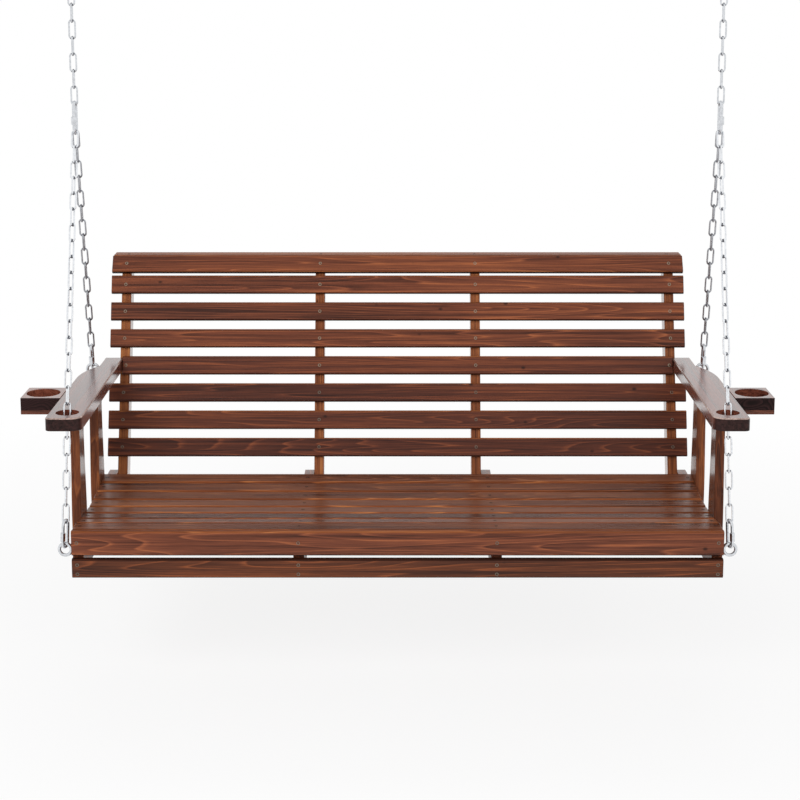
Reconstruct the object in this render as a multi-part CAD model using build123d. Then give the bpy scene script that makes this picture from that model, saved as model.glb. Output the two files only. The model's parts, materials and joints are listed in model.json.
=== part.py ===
from build123d import *
import os
from math import cos, hypot, pi, radians, sin, sqrt, tan

# Hanging porch swing bench, millimetres. X runs along the bench, Y from front to back, Z up.
# Sizes are written from the bench's front lower edge; the finished pieces move so that
# the origin lies in the ceiling plane, midway between the two ceiling hangers.

# Slats
span = 1500.0
slat_wide = 48.0
slat_thick = 16.0
edge_ease = 3.0

# Front boards
board_thick = 18.0
lower_board_high = 45.0
upper_board_high = 58.0
board_gap = 8.5

# Seat: a level front slat flush with the upper board, then slats lying in a shallow dish
seat_slats = 8
seat_gap = 9.0
board_to_slat = 0.5
dish_radius = 1250.0
dish_low = 16.0
dish_at = 262.0

# Seat supports
frame_thick = 25.0
inner_support_x = 228.5
support_drop = 4.0
support_rise_from = 380.0
tail_bottom = 26.0
tail_past_post = 28.0

# Back
back_lean = 18.0
back_slats = 8
back_pitch = 70.8
back_first_row = 51.5
back_from_seat = 49.8
post_deep = 46.0
post_foot = 14.0
head_lean = 35.0
head_gap = 10.0
cap_behind_head = 1.0
cap_below_head = 2.0

# Arms, level with the centre of one back slat, which is cut short between them
arm_row = 3
arm_to_slat = 1.0
arm_thick = 30.0
arm_wide = 83.0
arm_inside_end = 32.0
arm_overhang = 3.0
arm_corner_in = 28.0
arm_corner_out = 14.0
arm_ease = 2.5
shoulder_from = 390.0
shoulder_to = 528.0
tongue_wide = 47.0
chain_hole = 54.0
chain_hole_x = 40.0
chain_hole_y = 51.0

# Arm posts
arm_post_thick = 22.0
arm_post_deep = 68.0
arm_post_wave = 5.0
arm_post_foot = 20.0
front_arm_post_y = 142.0
rear_arm_post_y = 399.0

# Cup holders
cup_hole = 80.0
cup_wall_arm = 9.0
cup_wall_out = 5.0
cup_wall_side = 12.5
cup_middle_y = 238.5
cup_base_thick = 10.0

# Eye bolts
eye_wire = 8.0
eye_out = 36.0
eye_shank = 8.0
eye_collar = 16.0
eye_collar_thick = 3.0
front_eye_y = 40.0
front_eye_z = 56.0
rear_eye_y = 552.5
rear_eye_deep = 42.0
eye_hole_play = 0.2
washer_wide = 22.0
washer_thick = 2.0
nut_wide = 13.0
nut_thick = 6.5
bolt_past_nut = 3.0

# Frame bolts between seat supports and back posts
bolt_wire = 8.0
bolt_head = 13.0
bolt_head_thick = 5.5
bolt_hole_play = 0.4
bolt_low = 34.0
bolt_high = 78.0
bolt_in_post = 20.0

# Chain; the front one leans on the rear rim of the hole in the arm and bends there
link_wire = 4.4
link_in = 39.7
link_in_wide = 10.0
link_play = 0.25
hook_gap = 0.3
rim_gap = 0.5
rim_aside = 4.0
rim_lean = 14.0
high_links = 17
upper_links = 7

# Quick links
quick_wire = 7.0
quick_in = 56.0
quick_in_wide = 16.0
quick_turn = 72.0
quick_gap = 0.6
junction_wire = 8.0
junction_in = 68.0
junction_in_wide = 22.0
sleeve_play = 0.1
sleeve_wall = 2.0
sleeve_long = 20.0
sleeve_low = 16.0
rod_gap_high = 1.0
rod_gap = 10.0

# Hanging points
hang_y = 377.0
hang_x = 29.0
bow_wire = 8.0
bow_in_wide = 22.0
bow_leg = 14.0
plate_thick = 5.0
plate_wide = 36.0
plate_long = 84.0
plate_hole = 7.0
plate_hole_apart = 60.0

half = span / 2
lean = radians(back_lean)
head = radians(head_lean)
seat_top = lower_board_high + board_gap + upper_board_high
seat_pitch = slat_wide + seat_gap
seat_front = board_thick + board_to_slat
seat_rear = seat_front + (seat_slats - 1) * seat_pitch + slat_wide
arm_in_x = half - arm_inside_end
support_places = (half - frame_thick, inner_support_x - frame_thick / 2)


# Solids from a section

def plate(x_from, x_to, outline):
    """A board cut to an outline in Y and Z, from one X to another."""
    face = Plane.YZ * make_face(Polyline(*outline, close=True))
    return Pos(x_from, 0, 0) * extrude(face, x_to - x_from)


def slat(y, z, turn, wide=slat_wide, thick=slat_thick, reach=half):
    """A slat with eased edges; y, z is the middle of its show face, turn lays it from upright."""
    along = (sin(turn), cos(turn))
    into = (cos(turn), -sin(turn))
    h = wide / 2
    e = edge_ease
    corners = [(-h, e), (e - h, 0), (h - e, 0), (h, e)]
    corners += [(h, thick - e), (h - e, thick), (e - h, thick), (-h, thick - e)]
    outline = [(y + a * along[0] + b * into[0], z + a * along[1] + b * into[1]) for a, b in corners]
    return plate(-reach, reach, outline)


def ring_section(flat, sides):
    """Corners of a regular section whose flats are at the given distance."""
    reach = flat / cos(pi / sides)
    turns = [(k + 0.5) * 2 * pi / sides for k in range(sides)]
    return [(reach * cos(t), reach * sin(t)) for t in turns]


def rod(path, flat, sides, closed):
    """A bent rod along a flat path in X and Y, mitred at each corner."""
    count = len(path)
    section = ring_section(flat, sides)
    rows = []
    for i, point in enumerate(path):
        before = path[i - 1] if closed or i else None
        after = path[(i + 1) % count] if closed or i < count - 1 else None
        steps = [(point, after)] if before is None else [(before, point)]
        if before is not None and after is not None:
            steps.append((point, after))
        ways = []
        for a, b in steps:
            size = hypot(b[0] - a[0], b[1] - a[1])
            ways.append(((b[0] - a[0]) / size, (b[1] - a[1]) / size))
        mean = (sum(w[0] for w in ways), sum(w[1] for w in ways))
        size = hypot(*mean)
        side = (-mean[1] / size, mean[0] / size)
        stretch = 2 / size if len(ways) == 2 else 1
        out = (side[0] * stretch, side[1] * stretch)
        rows.append([Vector(point[0] + out[0] * a, point[1] + out[1] * a, b) for a, b in section])
    faces = []
    for i in range(count if closed else count - 1):
        low, high = rows[i], rows[(i + 1) % count]
        for k in range(sides):
            n = (k + 1) % sides
            faces.append(Face(Wire.make_polygon([low[k], low[n], high[n], high[k]])))
    if not closed:
        faces.append(Face(Wire.make_polygon(rows[0])))
        faces.append(Face(Wire.make_polygon(rows[-1])))
    return Solid(Shell(faces))


def bend(radius, middle, start, steps, size):
    """Corners of an arc drawn as straight steps that touch it."""
    reach = radius / cos(radians(size / steps / 2))
    turns = [radians(start + (k + 0.5) * size / steps) for k in range(steps)]
    return [(reach * cos(t), middle + reach * sin(t)) for t in turns]


def bar_along_x(x_from, x_to, y, z, wide, sides):
    """A straight bar with a regular section along X."""
    return Pos(x_from, y, z) * extrude(
        Plane.YZ * make_face(Polyline(*ring_section(wide / 2, sides), close=True)), x_to - x_from
    )


def along(centre, pull, roll):
    """Where a piece drawn along Y goes when its length follows the pull."""
    across = Vector(1, 0, 0) - pull * pull.X
    across = across.normalized()
    aside = pull.cross(across)
    turn = radians(roll)
    wide = across * cos(turn) + aside * sin(turn)
    return Plane(centre, x_dir=wide, z_dir=wide.cross(pull)).location


def both(piece):
    """The right-hand piece and its mirror image on the left."""
    return {"right": piece, "left": mirror(piece, Plane.YZ)}


nodes = {}


def keep(name, pieces):
    """Adds one node, moved into the ceiling frame when it is written."""
    nodes[name] = pieces if isinstance(pieces, list) else [pieces]


# Seat

def seat_place(i):
    """Middle of one seat slat's top face and its slope."""
    y = seat_front + i * seat_pitch + slat_wide / 2
    if i == 0:
        return y, seat_top, 0.0
    rise = (y - dish_at) / dish_radius
    return y, seat_top - dish_low + (y - dish_at) * rise / 2, rise


seat_under = []
for i in range(seat_slats):
    y, z, slope = seat_place(i)
    turn = pi / 2 - slope
    keep(f"seat_slat_{i + 1}", slat(y, z, turn))
    for a in (-slat_wide / 2, slat_wide / 2):
        seat_under.append(
            (y + a * cos(slope) + slat_thick * sin(slope), z + a * sin(slope) - slat_thick * cos(slope))
        )

lower_board_mid = lower_board_high / 2
upper_board_mid = lower_board_high + board_gap + upper_board_high / 2
keep("front_board_lower", slat(0, lower_board_mid, 0.0, lower_board_high, board_thick))
keep("front_board_upper", slat(0, upper_board_mid, 0.0, upper_board_high, board_thick))


# Back

def back_y(z):
    """Front face of the back slats at a height."""
    return seat_rear + back_from_seat + (z - seat_top) * tan(lean)


def row_z(k):
    """Height of one back slat's middle, counted from the lowest."""
    return seat_top + back_first_row + k * back_pitch * cos(lean)


back_rows = back_slats - 1
for k in range(back_rows):
    reach = arm_in_x - arm_to_slat if k == arm_row else half
    keep(f"back_slat_{k + 1}", slat(back_y(row_z(k)), row_z(k), lean, reach=reach))

top_row_edge = row_z(back_rows - 1) + slat_wide / 2 * cos(lean)
head_z = top_row_edge + head_gap * cos(lean)
head_y = back_y(head_z)
head_mid = (head_y + slat_wide / 2 * sin(head), head_z + slat_wide / 2 * cos(head))
keep(f"back_slat_{back_slats}", slat(head_mid[0], head_mid[1], head))

head_top_y = head_y + slat_wide * sin(head)
head_top_z = head_z + slat_wide * cos(head)
cap_front = head_top_y + slat_thick * cos(head) + cap_behind_head
cap_top = head_top_z - cap_below_head
keep("back_cap", slat(cap_front + slat_wide / 2, cap_top, pi / 2))


# Supports and back posts

def post_front(z):
    """Front edge of a back post, behind the slats."""
    return back_y(z) + slat_thick / cos(lean)


post_top = cap_top - slat_thick
head_back = (head_y + slat_thick * cos(head), head_z - slat_thick * sin(head))
bend_z = head_back[1] + (head_back[0] - post_front(head_back[1])) / (tan(lean) - tan(head))
post_rear_step = post_deep / cos(lean)
post_outline = [
    (post_front(post_foot), post_foot),
    (post_front(bend_z), bend_z),
    (head_back[0] + (post_top - head_back[1]) * tan(head), post_top),
    (post_front(post_top) + post_rear_step, post_top),
    (post_front(post_foot) + post_rear_step, post_foot),
]
tail_end = post_front(seat_under[-1][1]) + tail_past_post
support_outline = [(board_thick, support_drop), (board_thick, seat_under[0][1])]
support_outline += seat_under[1:]
support_outline += [(tail_end, seat_under[-1][1]), (tail_end, tail_bottom)]
support_outline += [(support_rise_from, support_drop)]

bolt_places = [(post_front(z) + bolt_in_post, z) for z in (bolt_low, bolt_high)]
bolts = []
for side in (-1, 1):
    for number, inner in enumerate(support_places):
        row = ("outer", "inner")[number]
        hand = "left" if side < 0 else "right"
        low, high = sorted((side * inner, side * (inner + frame_thick)))
        support = plate(low, high, support_outline)
        post_low, post_high = sorted((side * inner, side * (inner - frame_thick)))
        post = plate(post_low, post_high, post_outline)
        for y, z in bolt_places:
            drill = bar_along_x(-half * 1.2, half * 1.2, y, z, bolt_wire + bolt_hole_play, 8)
            support -= drill
            post -= drill
            head_from = side * (inner + frame_thick)
            nut_from = side * (inner - frame_thick)
            shank = bar_along_x(nut_from, head_from, y, z, bolt_wire, 8)
            bolt_top = bar_along_x(head_from, head_from + side * bolt_head_thick, y, z, bolt_head, 6)
            bolt_nut = bar_along_x(nut_from, nut_from - side * nut_thick, y, z, nut_wide, 6)
            bolts.append(shank + bolt_top + bolt_nut)
        if number == 0:
            eye_drill = bar_along_x(
                low - 1, high + 1, front_eye_y, front_eye_z, eye_shank + eye_hole_play, 8
            )
            support -= eye_drill
        keep(f"seat_support_{row}_{hand}", support)
        keep(f"back_post_{row}_{hand}", post)
keep("frame_bolts", bolts)

# Arms
arm_mid = row_z(arm_row)
arm_top = arm_mid + arm_thick / 2
arm_under = arm_mid - arm_thick / 2
arm_out_x = arm_in_x + arm_wide
tongue_x = arm_in_x + tongue_wide
arm_rear = post_front(arm_top)
hole_x = arm_in_x + chain_hole_x

arm_edge = (
    Polyline((tongue_x, shoulder_to), (tongue_x, arm_rear + arm_thick))
    + Polyline((tongue_x, arm_rear + arm_thick), (arm_in_x, arm_rear + arm_thick))
    + Polyline((arm_in_x, arm_rear + arm_thick), (arm_in_x, -arm_overhang))
    + Polyline((arm_in_x, -arm_overhang), (arm_out_x, -arm_overhang))
    + Polyline((arm_out_x, -arm_overhang), (arm_out_x, shoulder_from))
    + TangentArc((arm_out_x, shoulder_from), (tongue_x, shoulder_to), tangent=(0, 1))
)
arm_face = make_face(arm_edge)
front_inner = arm_face.vertices().sort_by(Axis.Y)[:2].sort_by(Axis.X)[0]
arm_face = fillet(front_inner, arm_corner_in)
front_outer = arm_face.vertices().sort_by_distance((arm_out_x, -arm_overhang, 0))[0]
arm_face = fillet(front_outer, arm_corner_out)
arm = Pos(0, 0, arm_under) * extrude(arm_face, arm_thick)
arm = chamfer(arm.faces().sort_by(Axis.Z)[-1].edges(), arm_ease)
beyond = 4 * arm_thick
arm -= plate(
    arm_in_x - beyond,
    arm_out_x + beyond,
    [
        (post_front(arm_under - beyond), arm_under - beyond),
        (post_front(arm_top + beyond), arm_top + beyond),
        (post_front(arm_top + beyond) + beyond, arm_top + beyond),
        (post_front(arm_top + beyond) + beyond, arm_under - beyond),
    ],
)
arm -= Pos(hole_x, chain_hole_y, arm_mid) * Cylinder(chain_hole / 2, 2 * arm_thick)
arm -= bar_along_x(
    tongue_x - rear_eye_deep, tongue_x + 1, rear_eye_y, arm_mid, eye_shank + eye_hole_play, 8
)
for hand, piece in both(arm).items():
    keep(f"arm_{hand}", piece)


# Arm posts

def arm_post(y):
    """A sawn arm post with gently waving front and rear edges."""
    tall = arm_under - arm_post_foot
    low, high = arm_post_foot + 0.3 * tall, arm_post_foot + 0.72 * tall
    rear = y + arm_post_deep
    w = arm_post_wave
    front_edge = Spline((y, arm_post_foot), (y - w, low), (y + w, high), (y, arm_under))
    rear_edge = Spline((rear, arm_post_foot), (rear + w, low), (rear - w, high), (rear, arm_under))
    edge = front_edge + rear_edge
    edge += Line((y, arm_under), (rear, arm_under))
    edge += Line((y, arm_post_foot), (rear, arm_post_foot))
    return Pos(half, 0, 0) * extrude(Plane.YZ * make_face(edge), arm_post_thick)


for place, y in (("front", front_arm_post_y), ("rear", rear_arm_post_y)):
    for hand, piece in both(arm_post(y)).items():
        keep(f"arm_post_{place}_{hand}", piece)

# Cup holders
cup_wide = cup_wall_arm + cup_hole + cup_wall_out
cup_deep = cup_hole + 2 * cup_wall_side
cup_x = arm_out_x + cup_wall_arm + cup_hole / 2
cup_block = Pos(arm_out_x + cup_wide / 2, cup_middle_y, arm_mid) * Box(cup_wide, cup_deep, arm_thick)
cup_block -= Pos(cup_x, cup_middle_y, arm_mid) * Cylinder(cup_hole / 2, 2 * arm_thick)
cup_base = Pos(arm_out_x + cup_wide / 2, cup_middle_y, arm_under - cup_base_thick / 2) * Box(
    cup_wide, cup_deep, cup_base_thick
)
for hand, piece in both(cup_block).items():
    keep(f"cup_holder_{hand}", piece)
keep("cup_bases", list(both(cup_base).values()))

# Eye bolts
eye_mid = (eye_out - eye_wire) / 2
eye_inside = eye_mid - eye_wire / 2


def eye_bolt(face_x, y, z, deep):
    """A forged eye with a collar that seats at face_x and a shank along X."""
    ring = Plane.XZ.location * rod(bend(eye_mid, 0, 0, 12, 360), eye_wire / 2, 8, True)
    middle = face_x + eye_collar_thick + eye_out / 2
    collar = bar_along_x(face_x, middle - eye_inside - eye_wire / 2, y, z, eye_collar, 8)
    shank = bar_along_x(face_x - deep, face_x, y, z, eye_shank, 8)
    return Pos(middle, y, z) * ring + collar + shank


eye_reach = frame_thick + washer_thick + nut_thick + bolt_past_nut
front_eye = eye_bolt(half, front_eye_y, front_eye_z, eye_reach)
rear_eye = eye_bolt(tongue_x, rear_eye_y, arm_mid, rear_eye_deep)
keep("front_eye_bolts", list(both(front_eye).values()))
keep("rear_eye_bolts", list(both(rear_eye).values()))
nut_face = half - frame_thick
eye_bore = bar_along_x(0, half, front_eye_y, front_eye_z, eye_shank + eye_hole_play, 8)
washer = bar_along_x(nut_face - washer_thick, nut_face, front_eye_y, front_eye_z, washer_wide, 8)
nut = bar_along_x(
    nut_face - washer_thick - nut_thick, nut_face - washer_thick, front_eye_y, front_eye_z, nut_wide, 6
)
eye_nuts = []
for piece in (washer - eye_bore, nut - eye_bore):
    eye_nuts += list(both(piece).values())
keep("eye_bolt_nuts", eye_nuts)

# Chain link, drawn in X and Y with its length along Y
link_half_wide = (link_in_wide + link_wire) / 2
link_half_long = (link_in + link_wire) / 2
link_bend = link_half_long - link_half_wide
link_path = bend(link_half_wide, link_bend, 0, 4, 180) + bend(link_half_wide, -link_bend, 180, 4, 180)
link = rod(link_path, link_wire / 2, 4, True)


def link_count(start, end):
    """Links that reach from one bearing face to another when pulled tight."""
    return int((end - start).length / link_in) + 1


def hang_links(start, end, count, roll, step):
    """Links pulled tight from one bearing face to another, each rolled on from the last."""
    way = end - start
    pull = way.normalized()
    move = (way.length - link_in) / (count - 1)
    middles = [start + pull * (link_in / 2 + i * move) for i in range(count)]
    return [along(middle, pull, roll + i * step) * link for i, middle in enumerate(middles)]


def roll_step(count):
    """Roll from link to link, near a quarter turn, that ends a chain in the plane it began in."""
    return 90.0 * ((count - 1) // 2 * 2) / (count - 1)


def quick_link(wire, inside, inside_wide):
    """An open oval link with a gap in one leg, and its screw sleeve closed over the gap."""
    mid = (inside_wide + wire) / 2
    straight = (inside + wire) / 2 - mid
    top = bend(mid, straight, 0, 6, 180)
    bottom = bend(mid, -straight, 180, 6, 180)
    path = [(mid, -rod_gap_high)] + top + bottom + [(mid, -rod_gap_high - rod_gap)]
    bore = wire / 2 + sleeve_play
    outside = make_face(Polyline(*ring_section(bore + sleeve_wall, 6), close=True))
    inside_face = make_face(Polyline(*ring_section(bore, 8), close=True))
    sleeve = Pos(mid, -sleeve_low, 0) * (Rot(-90, 0, 0) * extrude(outside - inside_face, sleeve_long))
    return rod(path, wire / 2, 8, False), sleeve


small_link, small_sleeve = quick_link(quick_wire, quick_in, quick_in_wide)
junction_link, junction_sleeve = quick_link(junction_wire, junction_in, junction_in_wide)
rise = Vector(0, 0, 1)

# Front chain: eye, quick link, up to the arm, one link leaning on the rim, then on to the junction
eye_x = half + eye_collar_thick + eye_out / 2
quick_reach = quick_in - 2 * quick_gap
link_step = link_in - link_play
link_out_wide = link_in_wide + 2 * link_wire
front_seat = Vector(eye_x, front_eye_y, front_eye_z + eye_inside)
rim_tilt = radians(rim_lean)
rim_pull = Vector(0, sin(rim_tilt), cos(rim_tilt))
rim_depth = sqrt((chain_hole / 2) ** 2 - (rim_aside + link_out_wide / 2) ** 2)
rim_y = chain_hole_y + rim_depth - rim_gap - link_wire / 2 / cos(rim_tilt)
rim = Vector(hole_x + rim_aside, rim_y, arm_top)
to_rim = rim - front_seat
low_count = int((to_rim.length - quick_reach) / link_step)
low_reach = quick_reach + low_count * link_step + link_play / 2
below_rim = to_rim.dot(rim_pull) - sqrt(to_rim.dot(rim_pull) ** 2 - to_rim.length**2 + low_reach**2)
rim_foot = rim - rim_pull * below_rim
rim_head = rim_foot + rim_pull * link_step
low_pull = (rim_foot - front_seat).normalized()
low_start = front_seat + low_pull * quick_reach
low_end = rim_foot + low_pull * (link_play / 2)

# The junction hangs straight under the hangers; the front chain aims at the middle of its rod
junction_mid_wide = (junction_in_wide + junction_wire) / 2
junction_hook = junction_in_wide / 2 - hook_gap
high_reach = high_links * link_step + link_play / 2 + junction_hook
junction_x = half + hang_x
aim_x = junction_x + (junction_x - rim_head.X) * junction_mid_wide / (high_reach - junction_mid_wide)
flat_reach = hypot(aim_x - rim_head.X, hang_y - rim_head.Y)
junction_z = rim_head.Z + sqrt(high_reach**2 - flat_reach**2)
junction = Vector(junction_x, hang_y, junction_z)
aim = Vector(aim_x, hang_y, junction_z)
high_pull = (aim - rim_head).normalized()
high_start = rim_head - high_pull * (link_play / 2)
high_end = aim - high_pull * junction_hook
front_step = roll_step(low_count + 1 + high_links)
front_chain = hang_links(low_start, low_end, low_count, 0, front_step)
front_chain += [along((rim_foot + rim_head) / 2, rim_pull, low_count * front_step) * link]
front_chain += hang_links(high_start, high_end, high_links, (low_count + 1) * front_step, front_step)

# Rear chain: eye in the arm, quick link, then straight to the junction
rear_seat = Vector(tongue_x + eye_collar_thick + eye_out / 2, rear_eye_y, arm_mid + eye_inside)
rear_pull = (junction - rear_seat).normalized()
rear_start = rear_seat + rear_pull * quick_reach
rear_end = junction - rear_pull * junction_hook
rear_count = link_count(rear_start, rear_end)
rear_chain = hang_links(rear_start, rear_end, rear_count, 0, roll_step(rear_count))

# Upper chain and ceiling hanger
junction_straight = (junction_in + junction_wire) / 2 - junction_mid_wide
junction_mid = junction + rise * junction_straight
upper_start = junction_mid + rise * (junction_in / 2 - hook_gap)
upper_end = upper_start + rise * (upper_links * link_in - (upper_links - 1) * link_play)
upper_chain = hang_links(upper_start, upper_end, upper_links, 0, roll_step(upper_links))
bow_mid = (bow_in_wide + bow_wire) / 2
bow_centre = upper_end + rise * (bow_in_wide / 2 - hook_gap)
ceiling = bow_centre.Z + bow_leg + plate_thick
bow_path = [(-bow_mid, bow_leg + plate_thick / 2)] + bend(bow_mid, 0, 180, 6, 180)
bow_path += [(bow_mid, bow_leg + plate_thick / 2)]
bow = Plane.YZ.location * rod(bow_path, bow_wire / 2, 8, False)
hanger_plate = Pos(0, 0, bow_leg + plate_thick / 2) * Box(plate_wide, plate_long, plate_thick)
for y in (-plate_hole_apart / 2, plate_hole_apart / 2):
    hanger_plate -= Pos(0, y, bow_leg) * Cylinder(plate_hole / 2, 4 * plate_thick)
hanger = Pos(*bow_centre) * (hanger_plate + bow)

front_quick_at = along(front_seat + low_pull * (quick_in / 2 - quick_gap), low_pull, -quick_turn)
rear_quick_at = along(rear_seat + rear_pull * (quick_in / 2 - quick_gap), rear_pull, -90)
junction_at = along(junction_mid, rise, -90)
hung = {
    "ceiling_hanger": hanger,
    "upper_chain": upper_chain,
    "junction_link": junction_at * junction_link,
    "junction_sleeve": junction_at * junction_sleeve,
    "front_chain": front_chain,
    "rear_chain": rear_chain,
    "front_link": front_quick_at * small_link,
    "front_sleeve": front_quick_at * small_sleeve,
    "rear_link": rear_quick_at * small_link,
    "rear_sleeve": rear_quick_at * small_sleeve,
}
for name, pieces in hung.items():
    right = pieces if isinstance(pieces, list) else [pieces]
    keep(f"{name}_right", right)
    keep(f"{name}_left", [mirror(piece, Plane.YZ) for piece in right])

# Writing, with the origin in the ceiling plane midway between the hangers
to_ceiling = Pos(0, -hang_y, -ceiling)
os.makedirs("parts", exist_ok=True)
for name, pieces in nodes.items():
    placed = [to_ceiling * piece for piece in pieces]
    export_step(placed[0] if len(placed) == 1 else Compound(children=placed), f"parts/{name}.step")
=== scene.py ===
import bmesh
import bpy
import json
import math
import numpy as np
from mathutils import Matrix, Vector


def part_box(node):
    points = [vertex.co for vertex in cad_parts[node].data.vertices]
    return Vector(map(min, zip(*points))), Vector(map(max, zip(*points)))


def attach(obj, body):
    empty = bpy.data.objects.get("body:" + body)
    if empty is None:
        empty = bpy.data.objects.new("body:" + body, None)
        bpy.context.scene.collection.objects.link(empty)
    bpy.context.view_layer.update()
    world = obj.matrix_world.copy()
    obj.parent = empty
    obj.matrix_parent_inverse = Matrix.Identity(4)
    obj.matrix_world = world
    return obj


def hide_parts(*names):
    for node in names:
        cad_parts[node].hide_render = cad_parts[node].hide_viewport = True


# Looks of a hanging porch swing bench: stained wood, zinc chain, screws, studio and camera.
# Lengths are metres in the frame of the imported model, with the origin in the ceiling plane.

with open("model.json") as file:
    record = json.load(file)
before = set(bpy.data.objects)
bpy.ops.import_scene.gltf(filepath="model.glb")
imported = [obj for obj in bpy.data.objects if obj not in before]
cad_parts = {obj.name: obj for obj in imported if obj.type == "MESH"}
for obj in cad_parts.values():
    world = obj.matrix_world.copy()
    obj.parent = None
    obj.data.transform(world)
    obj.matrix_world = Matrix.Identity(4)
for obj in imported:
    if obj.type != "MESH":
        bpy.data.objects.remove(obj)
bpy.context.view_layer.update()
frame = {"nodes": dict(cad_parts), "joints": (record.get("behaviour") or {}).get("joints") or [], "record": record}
nodes = frame["nodes"]
joints = {joint["child"]: joint for joint in frame["joints"]}
bodies = frame["record"]["behaviour"]["bodies"]
body_of = {node: body for body, members in bodies.items() for node in members}
scene = bpy.context.scene

MM = 0.001
X, Y, Z = range(3)
UP = Vector((0, 0, 1))
FRONT = Vector((0, -1, 0))
HANDS = ("left", "right")
WELD_GAP = 1e-6


# Shader helpers

# Sockets of a mix node that is set to colours
MIX_SHARE, MIX_FIRST, MIX_SECOND = 0, 6, 7
MIX_RESULT = 2


def new_material(name):
    """A new material with its tree and the principled shader in it."""
    material = bpy.data.materials.new(name)
    material.use_nodes = True
    tree = material.node_tree
    return material, tree, tree.nodes["Principled BSDF"]


def add(tree, kind, **values):
    """A shader node with its properties and unlinked inputs set by name."""
    node = tree.nodes.new("ShaderNode" + kind)
    for key, value in values.items():
        if hasattr(node, key):
            setattr(node, key, value)
        else:
            node.inputs[key.replace("_", " ")].default_value = value
    return node


def link(tree, source, target):
    """A wire from an output socket to an input socket."""
    tree.links.new(source, target)


def colour(code):
    """Linear colour from a hex code."""
    parts = [int(code[i:i + 2], 16) / 255 for i in (1, 3, 5)]
    return tuple(part / 12.92 if part < 0.04045 else ((part + 0.055) / 1.055) ** 2.4 for part in parts)


def grey(value):
    """A colour with three equal parts."""
    return (value,) * 3


def scaled(share, shade):
    """A colour with all its parts multiplied by a share."""
    return tuple(share * part for part in shade)


def stops(places, codes):
    """Ramp stops from places and hex codes."""
    return [(place, colour(code)) for place, code in zip(places, codes)]


def math_node(tree, operation, *values):
    """A math node on sockets and numbers."""
    node = add(tree, "Math", operation=operation)
    for slot, value in zip(node.inputs, values):
        if isinstance(value, (int, float)):
            slot.default_value = value
        else:
            link(tree, value, slot)
    return node.outputs[0]


def ramp(tree, source, steps):
    """A colour ramp with its stops given as (place, colour)."""
    node = add(tree, "ValToRGB")
    elements = node.color_ramp.elements
    while len(elements) < len(steps):
        elements.new(0.5)
    for element, (place, shade) in zip(elements, steps):
        element.position = place
        element.color = (*shade, 1)
    link(tree, source, node.inputs[0])
    return node.outputs[0]


def mix(tree, share, first, second):
    """A colour mix of a socket with a socket or a colour."""
    node = add(tree, "Mix", data_type="RGBA")
    link(tree, share, node.inputs[MIX_SHARE])
    link(tree, first, node.inputs[MIX_FIRST])
    if isinstance(second, tuple):
        node.inputs[MIX_SECOND].default_value = (*second, 1)
    else:
        link(tree, second, node.inputs[MIX_SECOND])
    return node.outputs[MIX_RESULT]


def remap(tree, source, span, values):
    """A socket's span drawn out to other values and held at both ends."""
    node = add(tree, "MapRange", From_Min=span[0], From_Max=span[1], To_Min=values[0], To_Max=values[1])
    link(tree, source, node.inputs["Value"])
    return node.outputs[0]


def stretched(tree, coordinates, scale):
    """Coordinates multiplied by a scale for each axis."""
    node = add(tree, "VectorMath", operation="MULTIPLY")
    node.inputs[1].default_value = scale
    link(tree, coordinates, node.inputs[0])
    return node.outputs[0]


def noise(tree, coordinates, scale, detail, roughness):
    """A noise about one half on coordinates with a scale for each axis."""
    node = add(tree, "TexNoise", Scale=1.0, Detail=detail, Roughness=roughness)
    link(tree, stretched(tree, coordinates, scale), node.inputs["Vector"])
    return node.outputs["Fac"]


def weigh(tree, parts):
    """A tone about one half from (socket, weight) pairs of noises about one half."""
    tone = 0.5 - sum(weight for _, weight in parts) / 2
    for socket, weight in parts:
        tone = math_node(tree, "MULTIPLY_ADD", socket, weight, tone)
    return tone


def moved_to(tree, tone, middle):
    """A tone about one half moved to another middle."""
    return math_node(tree, "ADD", tone, middle - 0.5)


def add_bump(tree, shader, height, strength, depth):
    """Relief of a surface from a socket for its height."""
    bump = add(tree, "Bump", Strength=strength, Distance=depth)
    link(tree, height, bump.inputs["Height"])
    link(tree, bump.outputs[0], shader.inputs["Normal"])


# Wood

# Figures: cells per metre along and across the grain, then detail and roughness of the noise
STRAIGHT = (0.7, 18.0, 1.5, 0.4)
ARCHED = (0.8, 14.0, 1.5, 0.4)
STREAKS = (1.4, 120.0, 4.0, 0.62)
FIBRE = (13.0, 680.0, 2.0, 0.6)
PATCHES = (1.2, 8.0, 2.0, 0.5)
END_GROWTH = (2.0, 9.0, 1.5, 0.4)
PORES = (20.0, 900.0, 2.0, 0.6)
KNOT_CELLS = (11.0, 16.0)

# Growth rings over the range of a figure, and how light a ring is from its start to its end
RINGS = 27.0
END_RINGS = 40.0
RING_LIGHT = [(0.0, grey(0.3)), (0.08, grey(0.9)), (0.25, grey(0.48)), (1.0, grey(0.3))]

# Share of a knot's colour by the distance from its middle in cells, and how much of the dark is left
KNOT_SHARE = [(0.03, grey(0.85)), (0.085, grey(0.0))]
KNOT_DARK = 0.4

# Places of the dark, middle and light colour in the tone of wood, and of the two in end grain
TONE_PLACES = (0.14, 0.5, 0.86)
END_PLACES = (0.2, 0.9)

# Span of the turn away from the eye over which varnish goes from its head-on to its edge-on weight
COAT_TURN = (0.6, 0.8)
COAT_ROUGHNESS = 0.2
COAT_IOR = 2.0

# End grain sets in over a span of the turn towards the end, less a share of the turn upwards
END_TURN = (0.05, 0.55)
UPWARD_SHARE = 0.3
END_SHARE = (0.0, 0.94)
END_GLOSS = 0.1
END_ROUGHNESS = 0.45
END_SPECULAR = 0.08

WOOD_RELIEF = 0.25
WOOD_DEPTH = 0.4 * MM
BOARD_SHIFT = (3.1, 5.7, 4.3)


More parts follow.
